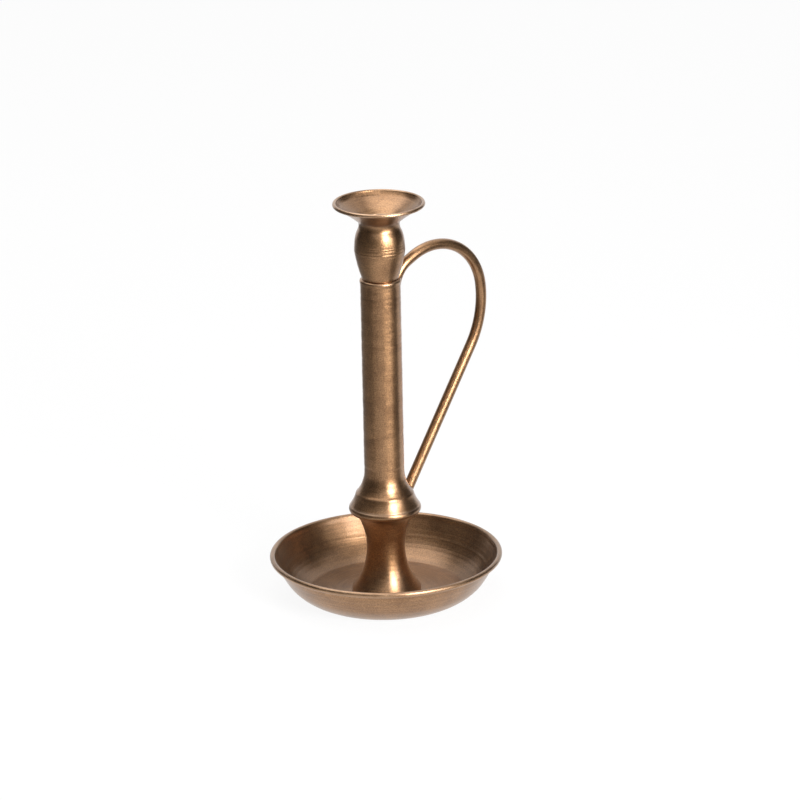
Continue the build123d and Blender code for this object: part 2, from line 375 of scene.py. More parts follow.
# %% The finish as a network of nodes
def antiqued_brass(
    name, pitch, depth, lengthwise=False, shade=0.08, dull=0.0, painted_shade_up=0.0, smear=0.5, lacquer=0.6,
):
    """Lacquered antiqued brass, with tool marks at a pitch and a depth, round the piece or along a rod. Shade
    is how much the marks change the tone, dull is added to the roughness, painted_shade_up is how much a
    painted shade darkens the faces that look up, and smear is how far the marks stretch a reflection."""
    material, tree = new_material(name)
    place = add(tree, "TexCoord").outputs["Object"]
    cut = add(tree, "UVMap", [("uv_map", "along_the_cut")])
    split = add(tree, "SeparateXYZ", [], [(0, cut)])
    turn = add(tree, "Math", [("operation", "MULTIPLY"), (1, math.tau)], [(0, split)])
    east = add(tree, "Math", [("operation", "COSINE")], [(0, turn)])
    north = add(tree, "Math", [("operation", "SINE")], [(0, turn)])
    point = add(tree, "CombineXYZ", [], [(0, east), (1, north), (2, split.outputs[1])])
    around = die_lines if lengthwise else ring_wander
    scales = (around, around, 1 / (pitch * mm))
    stretch = add(tree, "VectorMath", [("operation", "MULTIPLY"), (1, scales)], [(0, point)])
    marks = add(tree, "TexNoise", [("Scale", 1.0), ("Detail", 3.0), ("Roughness", 0.62)], [(0, stretch)])
    grain = add(tree, "TexNoise", [("Scale", 1 / (grain_size * mm)), ("Detail", 2.0)], [(0, place)])
    slow = [("Scale", 1 / (cloud_size * mm)), ("Detail", 4.0), ("Roughness", 0.55)]
    cloud = add(tree, "TexNoise", slow, [(0, place)])

    tone = add(tree, "MapRange", zip(map_limits, cloud_tones), [(0, cloud)])
    bath = [("data_type", "RGBA"), (first_colour, colour(bath_dark)), (second_colour, colour(bronze))]
    metal = add(tree, "Mix", bath, [(0, tone)])
    speck = add(tree, "MapRange", zip(map_limits, speck_tones), [(0, grain)])
    streak_tones = (noise_low, noise_high, 1 - shade, 1 + shade)
    streak = add(tree, "MapRange", zip(map_limits, streak_tones), [(0, marks)])
    # Painted shade: the faces that look up are darkened by a set amount.
    surface = add(tree, "NewGeometry")
    facing = add(tree, "SeparateXYZ", [], [(0, surface.outputs["Normal"])])
    painted_shade_ranges = zip(map_limits, (*painted_shade_tilt, 1.0, 1 - painted_shade_up))
    painted_up_shade = add(tree, "MapRange", painted_shade_ranges, [(0, facing.outputs["Z"])])
    level = add(tree, "Math", [("operation", "MULTIPLY")], [(0, speck), (1, streak)])
    level = add(tree, "Math", [("operation", "MULTIPLY")], [(0, level), (1, painted_up_shade)])
    tint = metal.outputs[mixed_colour]
    toned = add(tree, "VectorMath", [("operation", "SCALE")], [(0, tint), ("Scale", level)])

    # Convex edges are mixed toward a paler brass: partly rubbed wear, partly a painted highlight.
    wear_and_highlight = add(tree, "Attribute", [("attribute_name", "wear_and_highlight")]).outputs["Fac"]
    patchy = add(tree, "MapRange", zip(map_limits, wear_and_highlight_patches), [(0, cloud)])
    edge = add(tree, "Math", [("operation", "MULTIPLY")], [(0, wear_and_highlight), (1, patchy)])
    light = [("data_type", "RGBA"), (second_colour, colour(wear_and_highlight_brass))]
    brighter = add(tree, "Mix", light, [(0, edge), (first_colour, toned)])
    hollow = add(tree, "Attribute", [("attribute_name", "hollow")]).outputs["Fac"]
    deep = add(tree, "Math", [("operation", "MULTIPLY"), (1, wax_cover)], [(0, hollow)])
    dark = [("data_type", "RGBA"), (second_colour, colour(hollow_wax))]
    finished = add(tree, "Mix", dark, [(0, deep), (first_colour, brighter.outputs[mixed_colour])])

    both = add(tree, "Math", [("operation", "MULTIPLY_ADD"), (1, 0.5)], [(0, grain), (2, cloud)])
    sheen = zip(map_limits, (*rough_patches, satin[0] + dull, satin[1] + dull))
    rough = add(tree, "MapRange", sheen, [(0, both)])
    grooves = add(tree, "Tangent", [("direction_type", "UV_MAP"), ("uv_map", "along_the_cut")])
    mark_bump = add(tree, "Bump", [("Strength", 1.0), ("Distance", depth * mm)], [("Height", marks)])
    powder = [("Strength", 1.0), ("Distance", grain_depth * mm)]
    bump = add(tree, "Bump", powder, [("Height", grain), ("Normal", mark_bump)])
    shader = add(
        tree, "BsdfPrincipled",
        [("Metallic", 1.0), ("Anisotropic", smear), ("Anisotropic Rotation", 0.0 if lengthwise else 0.25),
         ("Coat Weight", lacquer), ("Coat Roughness", 0.28), ("Coat IOR", 1.5)],
        [("Base Color", finished.outputs[mixed_colour]), ("Roughness", rough), ("Normal", bump),
         ("Tangent", grooves)],
    )
    add(tree, "OutputMaterial", [], [("Surface", shader)])
    print(f"{name}: tool marks every {pitch} mm along the metal, {depth} mm deep")
    return material


# The pan and the cast pedestal get the most painted shade on the faces that look up.
spun_brass = antiqued_brass(
    "antiqued_brass_spun", 1.1, 0.045, shade=0.13, dull=0.045, painted_shade_up=0.3, lacquer=0.65,
)
turned_brass = antiqued_brass("antiqued_brass_turned", 0.7, 0.03, shade=0.12, painted_shade_up=0.12)
cup_brass = antiqued_brass("antiqued_brass_turned_cup", 1.0, 0.04, shade=0.13, painted_shade_up=0.12, smear=0.25)
cast_brass = antiqued_brass("antiqued_brass_cast_and_turned", 0.9, 0.035, shade=0.14, painted_shade_up=0.35)
drawn_brass = antiqued_brass("antiqued_brass_drawn_rod", 40.0, 0.02, lengthwise=True, smear=0.3)

# %% [markdown]
# ## The drip pan
# A disc of sheet brass is spun over a wooden form: a roller leans on it and it flows into a bowl. The
# roller leaves fine rings on the wall. The edge is rolled outward into a bead, so that it is stiff and
# safe to hold, and the curl stops just short of the wall, which leaves a thin dark seam below it.
# A boss is pressed up in the middle. It keeps the pedestal on centre and hides the nut.
#
# A bowl could be a scaled sphere with a thickness modifier. But its wall is one sheet of even
# thickness with a rolled edge, and that is easiest to draw as the outline of the sheet itself.

# %% Sizes of the drip pan
sheet = 1.1
pan_bead = 1.65
bead_centre = (pan_radius - pan_bead, pan_top - pan_bead)
floor_radius = 46.9
floor_top = table + sheet
wall_angle = 22
turn_out, turn_up = 0.61, 0.47   # where the bent stretch of the wall ends, as shares of its run and rise
turn_point = (
    floor_radius + (bead_centre[0] - floor_radius) * turn_out,
    floor_top + (bead_centre[1] - floor_top) * turn_up,
)
turn_rise = math.atan2(turn_point[1] - floor_top, turn_point[0] - floor_radius)
turn_slope = 2 * math.degrees(turn_rise) - wall_angle
rod_hole = 3.35
boss_top = 11.5
boss_radius = 11.6
boss_foot = 17.6
seam_width = 0.22
seam_depth = 0.7
print("pan is", round(2 * pan_radius, 1), "mm across, of sheet", sheet, "mm thick")


def shifted(point, heading, distance):
    """Point moved to the right of a heading given in radians."""
    return point[0] + distance * math.sin(heading), point[1] - distance * math.cos(heading)


# %% Spin the drip pan
cone = math.atan2(floor_top - boss_top, boss_foot - boss_radius)
cone_shift = sheet * math.tan(-cone / 2)
boss_under = boss_top - sheet
first_guess, rounds = 60, 6
wall_end = math.radians(first_guess)
for _ in range(rounds):   # the wall and the bead share one slope where they meet, found step by step
    wall_top = shifted(bead_centre, wall_end, -pan_bead)
    wall_end = math.atan2(wall_top[1] - turn_point[1], wall_top[0] - turn_point[0])
outer_start = shifted((floor_radius, floor_top), math.radians(wall_angle), sheet)
outer_turn = shifted(turn_point, wall_end, sheet)
inset = pan_bead - sheet
reach = math.sqrt(pan_bead**2 - inset**2)
run = (math.cos(wall_end), math.sin(wall_end))
beside = shifted(bead_centre, wall_end, -inset)
seam_foot = (beside[0] - reach * run[0], beside[1] - reach * run[1])
seam_head = (seam_foot[0] + seam_depth * run[0], seam_foot[1] + seam_depth * run[1])
lip_head = shifted(seam_head, wall_end, seam_width)
curl_start = math.degrees(math.atan2(seam_foot[1] - bead_centre[1], seam_foot[0] - bead_centre[0]))
curl_start += math.degrees(seam_width / pan_bead)
curl_end = math.degrees(wall_end) + 90

pan = Outline(rod_hole, boss_under)
pan.line(boss_radius - cone_shift, boss_under).soften(1.0)
pan.line(boss_foot - cone_shift, table).soften(1.0)
pan.line(outer_start[0], table)
pan.arc(*outer_turn, leave=wall_angle)
pan.step = 0.5
pan.arc(*seam_foot).line(*seam_head).line(*lip_head)
pan.around(bead_centre, pan_bead, curl_start, curl_end)
pan.arc(*turn_point, arrive=turn_slope + 180)
pan.step = 0.35
pan.arc(floor_radius, floor_top, arrive=wall_angle + 180).soften(0.8)
pan.line(boss_foot, floor_top).soften(0.6)
pan.step = 0.7
pan.line(boss_radius, boss_top).soften(0.8)
pan.line(rod_hole, boss_top)
roller_marks = [(3.4, 0.05), (1.7, 0.04)]
pan_points = rippled(pan.drawn(), True, roller_marks, low=table + 0.05, high=bead_centre[1] - 1)
drip_pan = spin("drip_pan_spun_sheet", pan_points)

# %% [markdown]
# ## Dressing a piece
# Each finished piece gets its material, rides on the one rigid body of this object and stands for the
# CAD node that it replaces. The CAD node stays in the physics model and is only hidden here.

# %% Dress the drip pan
def dress(piece, material, slot, *nodes):
    """Give a piece its material, its body and the CAD nodes that it stands for."""
    piece.data.materials.append(material)
    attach(piece, "root")
    if nodes:
        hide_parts(*nodes)
    return piece


dress(drip_pan, spun_brass, "antique_brass", "drip_pan")
print(drip_pan.name, "wears", drip_pan.data.materials[0].name)

# %% [markdown]
# ## The pedestal
# The pedestal is a hollow casting, turned on the outside: a broad foot, a long cove up to a narrow
# waist, and a tighter cove under a flange. The three arcs flow into each other, which is what makes
# the form look thrown in one go. The flange has a low spigot on top that keeps the bell of the stem on
# centre. It could be a stack of cones, but the eye finds every kink in a mirror-like metal.

# %% Turn the pedestal
pedestal_height = 55.1
waist = (11.5, pedestal_foot + pedestal_height * 0.517)
neck = (15.0, pedestal_foot + pedestal_height * 0.824)
foot_radius = 20.8
foot_rim = 2.4
foot_edge = pedestal_foot + 2.2
joint_radius = flange_radius - 1.0
flange_under = (joint_radius - 0.3, bell_foot - 4.2)
flange_edge = (flange_radius - 0.2, bell_foot - 1.9)
bell_mouth = bell_radius - 3.1
spigot_radius = bell_mouth - 0.15
core_radius = 9.1
core_roof = bell_foot - 7
core_foot = (12.4, 12.3)

spool = Outline(foot_radius - foot_rim, pedestal_foot)
spool.line(foot_radius, pedestal_foot).soften(0.25)
spool.line(foot_radius, foot_edge).soften(0.5)
spool.arc(*waist, arrive=90).arc(*neck).arc(*flange_under).soften(0.5)
spool.arc(*flange_edge, arrive=95).arc(joint_radius, bell_foot).soften(0.2)
spool.line(spigot_radius, bell_foot).line(spigot_radius, spigot_top).soften(0.5)
spool.line(rod_hole, spigot_top).line(rod_hole, core_roof)
spool.step = 3
spool.line(core_radius, core_roof).line(core_radius, waist[1]).line(*core_foot)
turning_marks = [(5.0, 0.05), (1.8, 0.035), (0.9, 0.015)]
spool_points = rippled(spool.drawn(), True, turning_marks, low=foot_edge, high=bell_foot - 5)
dress(spin("pedestal_turned_casting", spool_points), cast_brass, "antique_brass", "pedestal")

# %% [markdown]
# ## The stem
# The stem is one tube. Its lower end was flared to a bell over a form, with a small step where the
# flare meets the skirt, and its mouth was turned in to a smooth ring that holds the foot of the cup.
# Polishing by hand left the long tube faintly uneven, in waves a few millimetres apart. They are about
# a tenth of a millimetre deep at most, but they make the dark reflection down its side wander, so they
# are real shape here and not paint.

# %% Turn the stem
tube_radius = 12.1
tube_bore = tube_radius - 1.5
flare_height = 22
flare_top = bell_foot + flare_height
step_height = bell_foot + flare_height * 0.373 - 0.5
step_outer, step_inner = 17.8, 17.4
lip_round = 1.45
lip_centre = (tube_radius - 1.2, mouth - lip_round)
lip_foot = mouth - 1.5
cup_foot_radius = 9.2
foot_draw = 1.6
seat_top, seat_foot, lip_depth = 0.9, 2.3, 3.6


def foot_taper(depth):
    """Radius of the cup's tapered foot at a depth below the mouth of the stem."""
    return cup_foot_radius - foot_draw * depth / (mouth - cup_foot)


tube = Outline(bell_mouth, bell_foot)
tube.line(joint_radius, bell_foot).soften(0.3)
tube.arc(step_outer, step_height - 1.5, arrive=109).soften(0.75)
tube.line(step_inner, step_height).soften(0.75)
tube.arc(tube_radius, flare_top, arrive=90)
tube.line(tube_radius, mouth - 2.8).soften(0.4)
tube.around(lip_centre, lip_round, -20, 90)
tube.line(tube_radius - 2, mouth).soften(0.3)
tube.line(foot_taper(seat_top), mouth - seat_top).line(foot_taper(seat_foot), mouth - seat_foot)
tube.line(tube_bore, mouth - lip_depth)
tube.step = 4
tube.line(tube_bore, bell_foot + flare_height * 0.75).line(bell_mouth, bell_foot + 2.35)
tube_points = tube.drawn()
outer_count = int(np.argmax(tube_points[:, 1] > lip_foot))
polishing_waves = [(7.0, 0.1), (2.4, 0.07), (1.1, 0.035)]
tube_points = rippled(tube_points, True, polishing_waves, low=step_height + 1, high=mouth - 3)
dress(spin("stem_flared_tube", tube_points), turned_brass, "antique_brass", "stem")

# %% [markdown]
# ## The candle cup
# The cup is turned from bar: an urn with a faint crease at its widest ring, a short neck, and a dish
# with a rounded bead that catches the first wax. A drilled socket takes a household candle. The foot
# is tapered and tapped, and the tie rod pulls it down into the mouth of the stem. The turner ran a few
# fine rings round the belly, as wide as a thread, and they are cut into the outline.

# %% Turn the candle cup
rise = cup_top - mouth
belly = (15.15, mouth + rise * 0.375)
shoulder = (14.6, mouth + rise * 0.527)
upper_belly = (12.7, mouth + rise * 0.653)
cup_neck = (12.15, mouth + rise * 0.712)
dish_root = (cup_neck[0] + 1.35, cup_neck[1] + 2.8)
dish_bead = 1.2
dish_centre = (dish_radius - dish_bead, cup_top - dish_bead)
bead_root = (dish_centre[0] - 0.648, dish_centre[1] - 1.01)
bead_from, bead_to = -122.7, 150   # degrees round the bead, from its root to the inside of the dish
dish_side = (23.1, cup_top - 3.14)
dish_floor = (14.5, cup_top - 8.2)
socket_radius = 11.25
socket_mouth = mouth + rise * 0.774
socket_depth, drill_depth = 22, 25
thread_hole = 3.05
tapped_top = cup_foot + 11
belly_rings = (-1.2, 0.6, 2.9, 4.3)
ring_reach = 0.32
ring_cut = 0.06

cup = Outline(0, tapped_top, step=2)
cup.line(thread_hole, tapped_top).line(thread_hole, cup_foot)
cup.line(cup_foot_radius - foot_draw, cup_foot).line(cup_foot_radius, mouth)
cup.line(10.8, mouth + 0.1).soften(0.3)
cup.step = 0.3
cup.arc(*belly, arrive=82).soften(0.3)
cup.arc(*shoulder, leave=91).arc(*upper_belly).soften(0.35)
cup.arc(*cup_neck, arrive=90).arc(*dish_root)
cup.arc(*bead_root).around(dish_centre, dish_bead, bead_from, bead_to)
cup.arc(*dish_side).line(*dish_floor).soften(1.0)
cup.line(socket_radius, socket_mouth - 0.3).soften(0.2)
cup.step = 2
cup.line(socket_radius, socket_mouth - socket_depth).line(0, socket_mouth - drill_depth)
cup_points = cup.drawn()
for ring in belly_rings:
    near = np.abs(cup_points[:, 1] - belly[1] - ring) < ring_reach
    cup_points[near & (cup_points[:, 0] > cup_neck[0]), 0] -= ring_cut
cup_marks = [(4.0, 0.04), (1.3, 0.02)]
cup_points = rippled(cup_points, False, cup_marks, low=mouth + 1, high=cup_top - 0.5)
candle_cup = spin("candle_cup_turned", cup_points, closed=False)
dress(candle_cup, cup_brass, "antique_brass", "candle_cup")

# %% [markdown]
# ## The handle
# A straight rod of drawn brass is bent round three formers in one plane: a wide belly for the finger,
# a crown, and a short hook at the mouth of the stem. Both ends are filed until they sit on the curved
# metal, the lower one on the flare of the bell, the upper one along the tube.
#
# Blender could sweep a circle along a curve, but the filed ends would then poke through the stem. Here
# the rod is a bundle of lines along its surface, and each line stops exactly where it meets the stem.

# %% The line that the rod follows
rod_radius = 3.25
tall = mouth - bell_foot
corners = [   # where the straight runs of the rod would meet if it weren't bent round its formers
    Vector((17.4, 0, bell_foot + tall * 0.036)),           # on the flare of the bell
    Vector((77.9, 0, bell_foot + tall * 0.716)),           # outside the belly of the loop
    Vector((71.5, 0, bell_foot + tall * 1.227)),           # above the crown
    Vector((tube_radius + 1.7, 0, mouth + 3)),             # at the hook, beside the foot of the cup
    Vector((tube_radius - rod_radius, 0, mouth - 14.5)),   # inside the tube, where it is filed away
]
overrun = 2   # how much longer the lower end is than it has to be, for filing
bend_shares = (0.26, 0.82, 0.434)   # how much of the run after each corner its bend takes up
bends = [(b - a).length * share for a, b, share in zip(corners[1:], corners[2:], bend_shares)]
corners[0] = corners[0] + (corners[0] - corners[1]).normalized() * overrun
line_step = 0.9


def walk_straight(points, bent, end):
    """Go on from the last point of the line to an end."""
    base = points[-1]
    count = math.ceil((end - base).length / line_step)
    for i in range(1, count + 1):
        points.append(base + (end - base) * (i / count))
        bent.append(0.0)


def bent_line(corners, bends):
    """Points and how much the rod is bent at each, along straight runs joined by arcs."""
    points, bent = [corners[0]], [0.0]
    for before, corner, after, reach in zip(corners, corners[1:], corners[2:], bends):
        away, onward = (before - corner).normalized(), (after - corner).normalized()
        start, end = corner + away * reach, corner + onward * reach
        half = away.angle(onward) / 2
        centre = corner + (away + onward).normalized() * (reach / math.cos(half))
        arm, sweep = start - centre, math.pi - 2 * half
        axis = arm.cross(end - centre).normalized()
        walk_straight(points, bent, start)
        count = math.ceil(arm.length * sweep / line_step)
        for i in range(1, count + 1):
            points.append(centre + Matrix.Rotation(sweep * i / count, 3, axis) @ arm)
            bent.append(math.sin(math.pi * i / count) / arm.length)
    walk_straight(points, bent, corners[-1])
    return np.array([tuple(p) for p in points]), np.array(bent)


line, bent = bent_line(corners, bends)
line_place = np.concatenate([[0], np.cumsum(np.linalg.norm(np.diff(line, axis=0), axis=1))])
rod_length = line_place[-1]
print("rod is", round(rod_length, 1), "mm long before filing")

# %% File both ends to the stem
rod_columns = 56
foot_search, mouth_search = 25, 45   # how far from each end the first touch is looked for
search_steps, halvings = 120, 14
rod_angle = np.arange(rod_columns) * math.tau / rod_columns
look_ahead = 0.4
bend_flattening = 0.9   # a rod goes slightly oval where it is bent
lip_points = 12         # enough of the outline to reach over the lip
stem_side = tube_points[: outer_count + lip_points]
stem_side = stem_side[np.argsort(stem_side[:, 1])]


def on_line(place):
    """Point on the middle line of the rod, at a length along it."""
    return np.array([np.interp(place, line_place, line[:, k]) for k in range(3)])


def rod_point(place, column):
    """Point on the surface of the rod, at a length along it and a column round it."""
    along = on_line(place + look_ahead) - on_line(place - look_ahead)
    along /= np.linalg.norm(along)
    side = np.array([along[2], 0, -along[0]])
    flat = 1 - bend_flattening * np.interp(place, line_place, bent)
    angle = rod_angle[column]
    out = flat * math.cos(angle) * side + math.sin(angle) * np.array([0, 1, 0])
    return on_line(place) + rod_radius * out


def stem_radius_at(height):
    """Outer radius of the stem at a height."""
    return float(np.interp(height, stem_side[:, 1], stem_side[:, 0]))


def in_stem(point):
    """Whether a point is inside the outer form of the stem."""
    return bell_foot < point[2] < mouth and math.hypot(point[0], point[1]) < stem_radius_at(point[2])


def filed_end(column, start, stop):
    """Length along the rod at which a column first meets the stem, searched from start to stop."""
    steps = np.linspace(start, stop, search_steps)
    for clear, met in zip(steps, steps[1:]):
        if in_stem(rod_point(met, column)):
            for _ in range(halvings):
                middle = (clear + met) / 2
                clear, met = (clear, middle) if in_stem(rod_point(middle, column)) else (middle, met)
            return clear
    return stop


foot_ends = np.array([filed_end(c, foot_search, 0) for c in range(rod_columns)])
mouth_ends = np.array([filed_end(c, rod_length - mouth_search, rod_length) for c in range(rod_columns)])
print("foot filed from", foot_ends.min().round(2), "to", foot_ends.max().round(2))
print("mouth filed from", mouth_ends.min().round(2), "to", mouth_ends.max().round(2))

# %% Skin the rod
near_foot, near_mouth = 30.0, rod_length - 50   # between these the rows run straight round the rod
foot_rows, mouth_rows = 26, 56
row_step = 1.1
places = [[e + (near_foot - e) * s for e in foot_ends] for s in np.linspace(0, 1, foot_rows)]
places += [[p] * rod_columns for p in np.arange(near_foot + 1, near_mouth, row_step)]
places += [[near_mouth + (e - near_mouth) * s for e in mouth_ends] for s in np.linspace(0, 1, mouth_rows)]
places = np.array(places)
rod_grid = np.array([[rod_point(p, c) for c, p in enumerate(row)] for row in places])
row_places = places.mean(axis=1)
handle_rod = skin("handle_bent_rod", rod_grid[:, ::-1], close_columns=True, cap=True, along=row_places)
dress(handle_rod, drawn_brass, "antique_brass", "handle")
print("handle_bent_rod:", len(handle_rod.data.polygons), "faces")

# %% [markdown]
# ## The brazed joints
# Filler metal melts into the corner between rod and stem and draws itself into a small hollow fillet,
# never quite even. It takes the antiquing bath a little darker than the brass. Each fillet here is a
# closed ring that follows the filed end of the rod: one side lies on the rod, one on the stem, and a
# hollow curve joins them. Its size wanders by a smooth noise.

# %% Lay the fillets
fillet_curve = np.linspace(0, 1, 8)
wander_scale = 1.4
wander_share = 0.9
sunk = 0.06        # how far the edges of the filler lie inside the brass, so that no gap shows
root_depth = 0.4   # how far its hidden edge lies under the joint
hollow_lift = 0.12
spread = 0.3       # how much further from the axis than the joint the filler may run on the stem


def fillet(name, ends, way, size, seed):
    """Closed ring of filler metal round a filed end. Way is 1 where the rod runs on from the joint."""
    rows = []
    for column, end in enumerate(ends):
        angle = rod_angle[column]
        spot = Vector((math.cos(angle) * wander_scale, math.sin(angle) * wander_scale, seed))
        leg = size * (1 + wander_share * (noise.noise(spot) - 0.5))
        joint = rod_point(end, column)
        on_rod = rod_point(end + way * leg, column)
        off_rod = joint - on_line(end)
        off_rod /= np.linalg.norm(off_rod)
        rise_ahead = stem_radius_at(joint[2] + look_ahead) - stem_radius_at(joint[2] - look_ahead)
        flat = math.hypot(joint[0], joint[1])
        off_stem = np.array([joint[0] / flat, joint[1] / flat, -rise_ahead / (2 * look_ahead)])
        off_stem /= np.linalg.norm(off_stem)
        out = off_rod - (off_rod @ off_stem) * off_stem
        out /= max(np.linalg.norm(out), tiny)
        on_stem = joint + out * leg
        if on_stem[2] < lip_foot:
            wanted = min(stem_radius_at(on_stem[2]), flat + spread)
            on_stem[:2] *= wanted / max(math.hypot(on_stem[0], on_stem[1]), tiny)
        centre = joint + hollow_lift * leg * (off_rod + off_stem)
        first, last = on_rod - sunk * off_rod, on_stem - sunk * off_stem
        curve = [(1 - s) ** 2 * first + 2 * s * (1 - s) * centre + s**2 * last for s in fillet_curve]
        rows.append([*curve, joint - root_depth * (off_rod + off_stem)])
    grid = np.array(rows).transpose(1, 0, 2)
    return skin(name, grid if way > 0 else grid[::-1], close_rows=True, close_columns=True)


braze_foot = fillet("braze_fillet_foot", foot_ends, 1, size=1.1, seed=3.0)
braze_mouth = fillet("braze_fillet_mouth", mouth_ends, -1, size=1.0, seed=8.0)
print("two fillets, each with", len(fillet_curve), "points across its hollow")

# %% [markdown]
# ## Filler metal
# Silver brazing filler, antiqued in the same bath as the rest. It flowed and froze, so it has soft
# lumps where the brass has rings, and the bath leaves it darker and duller.

# %% Brazing filler
filler_dark = "#5b3f27"
filler_light = "#8d6a49"
filler_sheen = (noise_low, noise_high, 0.3, 0.48)   # the range of the noise, then roughness at its ends
lump_size = 1.6
lump_depth = 0.12


def brazing_filler(name):
    """Frozen filler metal, darkened with the brass."""
    material, tree = new_material(name)
    place = add(tree, "TexCoord").outputs["Object"]
    lump = add(tree, "TexNoise", [("Scale", 1 / (lump_size * mm)), ("Detail", 3.0)], [(0, place)])
    dark, light = colour(filler_dark), colour(filler_light)
    tones = [("data_type", "RGBA"), (first_colour, dark), (second_colour, light)]
    metal = add(tree, "Mix", tones, [(0, lump)])
    rough = add(tree, "MapRange", zip(map_limits, filler_sheen), [(0, lump)])
    bump = add(tree, "Bump", [("Strength", 1.0), ("Distance", lump_depth * mm)], [("Height", lump)])
    shader = add(
        tree, "BsdfPrincipled", [("Metallic", 1.0), ("Coat Weight", 0.35), ("Coat Roughness", 0.3)],
        [("Base Color", metal.outputs[mixed_colour]), ("Roughness", rough), ("Normal", bump)],
    )
    add(tree, "OutputMaterial", [], [("Surface", shader)])
    return material


filler = brazing_filler("brazing_filler_antiqued")
for joint in (braze_foot, braze_mouth):
    dress(joint, filler, "antique_brass")
    print(f"{joint.name}: {len(joint.data.polygons)} faces")

# %% [markdown]
# ## What holds it together
# Turn the stick over and the recess in the pan shows an M6 nut, a spring washer and a broad flat
# washer on the end of the tie rod. They are bought parts in zinc plated steel: bright, slightly blue,
# with the crystal bloom of the plating bath. The thread is real shape, one ridge that climbs a pitch a
# turn, because at this size a flat grey cylinder would look like a pin.

# %% Zinc plated steel
zinc_blue = "#b3b8bd"
zinc_pale = "#cfd0cb"
zinc_sheen = (noise_low, noise_high, 0.24, 0.4)   # the same for the plating
bloom_size = 0.9     # the crystals of the plating
scuff_size = 0.5
scuff_depth = 0.01


def zinc_plated_steel(name):
    """Bright zinc plating over machined steel."""
    material, tree = new_material(name)
    place = add(tree, "TexCoord").outputs["Object"]
    bloom = add(tree, "TexVoronoi", [("Scale", 1 / (bloom_size * mm))], [(0, place)])
    scuff = add(tree, "TexNoise", [("Scale", 1 / (scuff_size * mm)), ("Detail", 3.0)], [(0, place)])
    blue, pale = colour(zinc_blue), colour(zinc_pale)
    tones = [("data_type", "RGBA"), (first_colour, blue), (second_colour, pale)]
    metal = add(tree, "Mix", tones, [(0, bloom)])
    rough = add(tree, "MapRange", zip(map_limits, zinc_sheen), [(0, scuff)])
    bump = add(tree, "Bump", [("Strength", 1.0), ("Distance", scuff_depth * mm)], [("Height", scuff)])
    shader = add(
        tree, "BsdfPrincipled", [("Metallic", 1.0)],
        [("Base Color", metal.outputs[mixed_colour]), ("Roughness", rough), ("Normal", bump)],
    )
    add(tree, "OutputMaterial", [], [("Surface", shader)])
    return material


zinc = zinc_plated_steel("zinc_plated_steel")
print(zinc.name, "with crystals", bloom_size, "mm across")

# %% Cut the thread on the tie rod
pitch = 1.0
thread_depth = 0.55
rod_low, rod_high = span("tie_rod")
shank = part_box("tie_rod")[1].x / mm
thread_length = 10.0
thread_chamfer = 0.5
rows_a_pitch = 8


def turned_ring(radii, height):
    """Ring of points at a height, with one radius for each of its equal steps round the axis."""
    angles = np.arange(len(radii)) * math.tau / len(radii)
    return [(r * math.cos(a), r * math.sin(a), height) for r, a in zip(radii, angles)]


def thread_radius(height, turn):
    """Radius of the threaded rod at a share of a turn. The ridge climbs one pitch a turn and fades out."""
    groove = abs((height / pitch - turn) % 1 - 0.5) * 2
    ends = min(height - rod_low, rod_high - height)
    fade = min(1, abs(thread_length - ends) / pitch) if ends < thread_length else 0
    return shank - thread_depth * groove * fade - max(0, thread_chamfer - ends)


thread_columns = 48
turns = np.arange(thread_columns) / thread_columns
low_rows = np.arange(rod_low, rod_low + thread_length, pitch / rows_a_pitch)
high_rows = np.arange(rod_high - thread_length, rod_high + tiny, pitch / rows_a_pitch)
plain_rows = np.linspace(rod_low + thread_length, rod_high - thread_length, 12)[1:-1]   # the bare shank
rod_rows = [*low_rows, *plain_rows, *high_rows]
thread_grid = np.array([turned_ring([thread_radius(z, t) for t in turns], z) for z in rod_rows])
tie_rod = skin("tie_rod_threaded", thread_grid, close_columns=True, cap=True, along=rod_rows)
dress(tie_rod, zinc, "plated_steel", "tie_rod")
print("tie_rod_threaded:", len(rod_rows), "rows")

# %% Shape the nut
nut_low, nut_high = span("base_nut")
across = (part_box("base_nut")[1].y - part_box("base_nut")[0].y) / mm
nut_columns = 96
face_radius = 4.75    # where the chamfered corners start on both faces
bore_edge = 0.05
chamfer_steps = (0.02, 0.12, 0.25, 0.4, 0.6)


def hexagon(turn):
    """Distance from the centre to the side of the nut, at a share of a turn."""
    return across / 2 / math.cos((turn * math.tau + math.pi / 6) % (math.pi / 3) - math.pi / 6)


def chamfered(depth):
    """Radius of the chamfer at a depth below a face. It slopes at thirty degrees."""
    return face_radius + depth / math.tan(math.radians(30))


nut_rows = [(nut_low, thread_hole), (nut_low, face_radius - bore_edge)]
nut_rows += [(nut_low + d, chamfered(d)) for d in chamfer_steps]
nut_rows += [(nut_high - d, chamfered(d)) for d in reversed(chamfer_steps)]
nut_rows += [(nut_high, face_radius - bore_edge), (nut_high, thread_hole)]
nut_turns = np.arange(nut_columns) / nut_columns
nut_grid = [turned_ring([min(limit, hexagon(t)) for t in nut_turns], height) for height, limit in nut_rows]
base_nut = skin("base_nut_hexagon", np.array(nut_grid), close_rows=True, close_columns=True)
dress(base_nut, zinc, "plated_steel", "base_nut")
print("nut is", round(across, 2), "mm across its flats")

# %% Punch the flat washer and coil the spring washer
washer_low, washer_high = span("flat_washer")
washer_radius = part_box("flat_washer")[1].x / mm
disc = Outline(rod_hole, washer_low)
disc.line(washer_radius, washer_low).soften(0.2).line(washer_radius, washer_high).soften(0.35)
disc.line(rod_hole, washer_high)
flat_washer = spin("flat_washer_punched", disc.drawn(), segments=96)
dress(flat_washer, zinc, "plated_steel", "flat_washer")

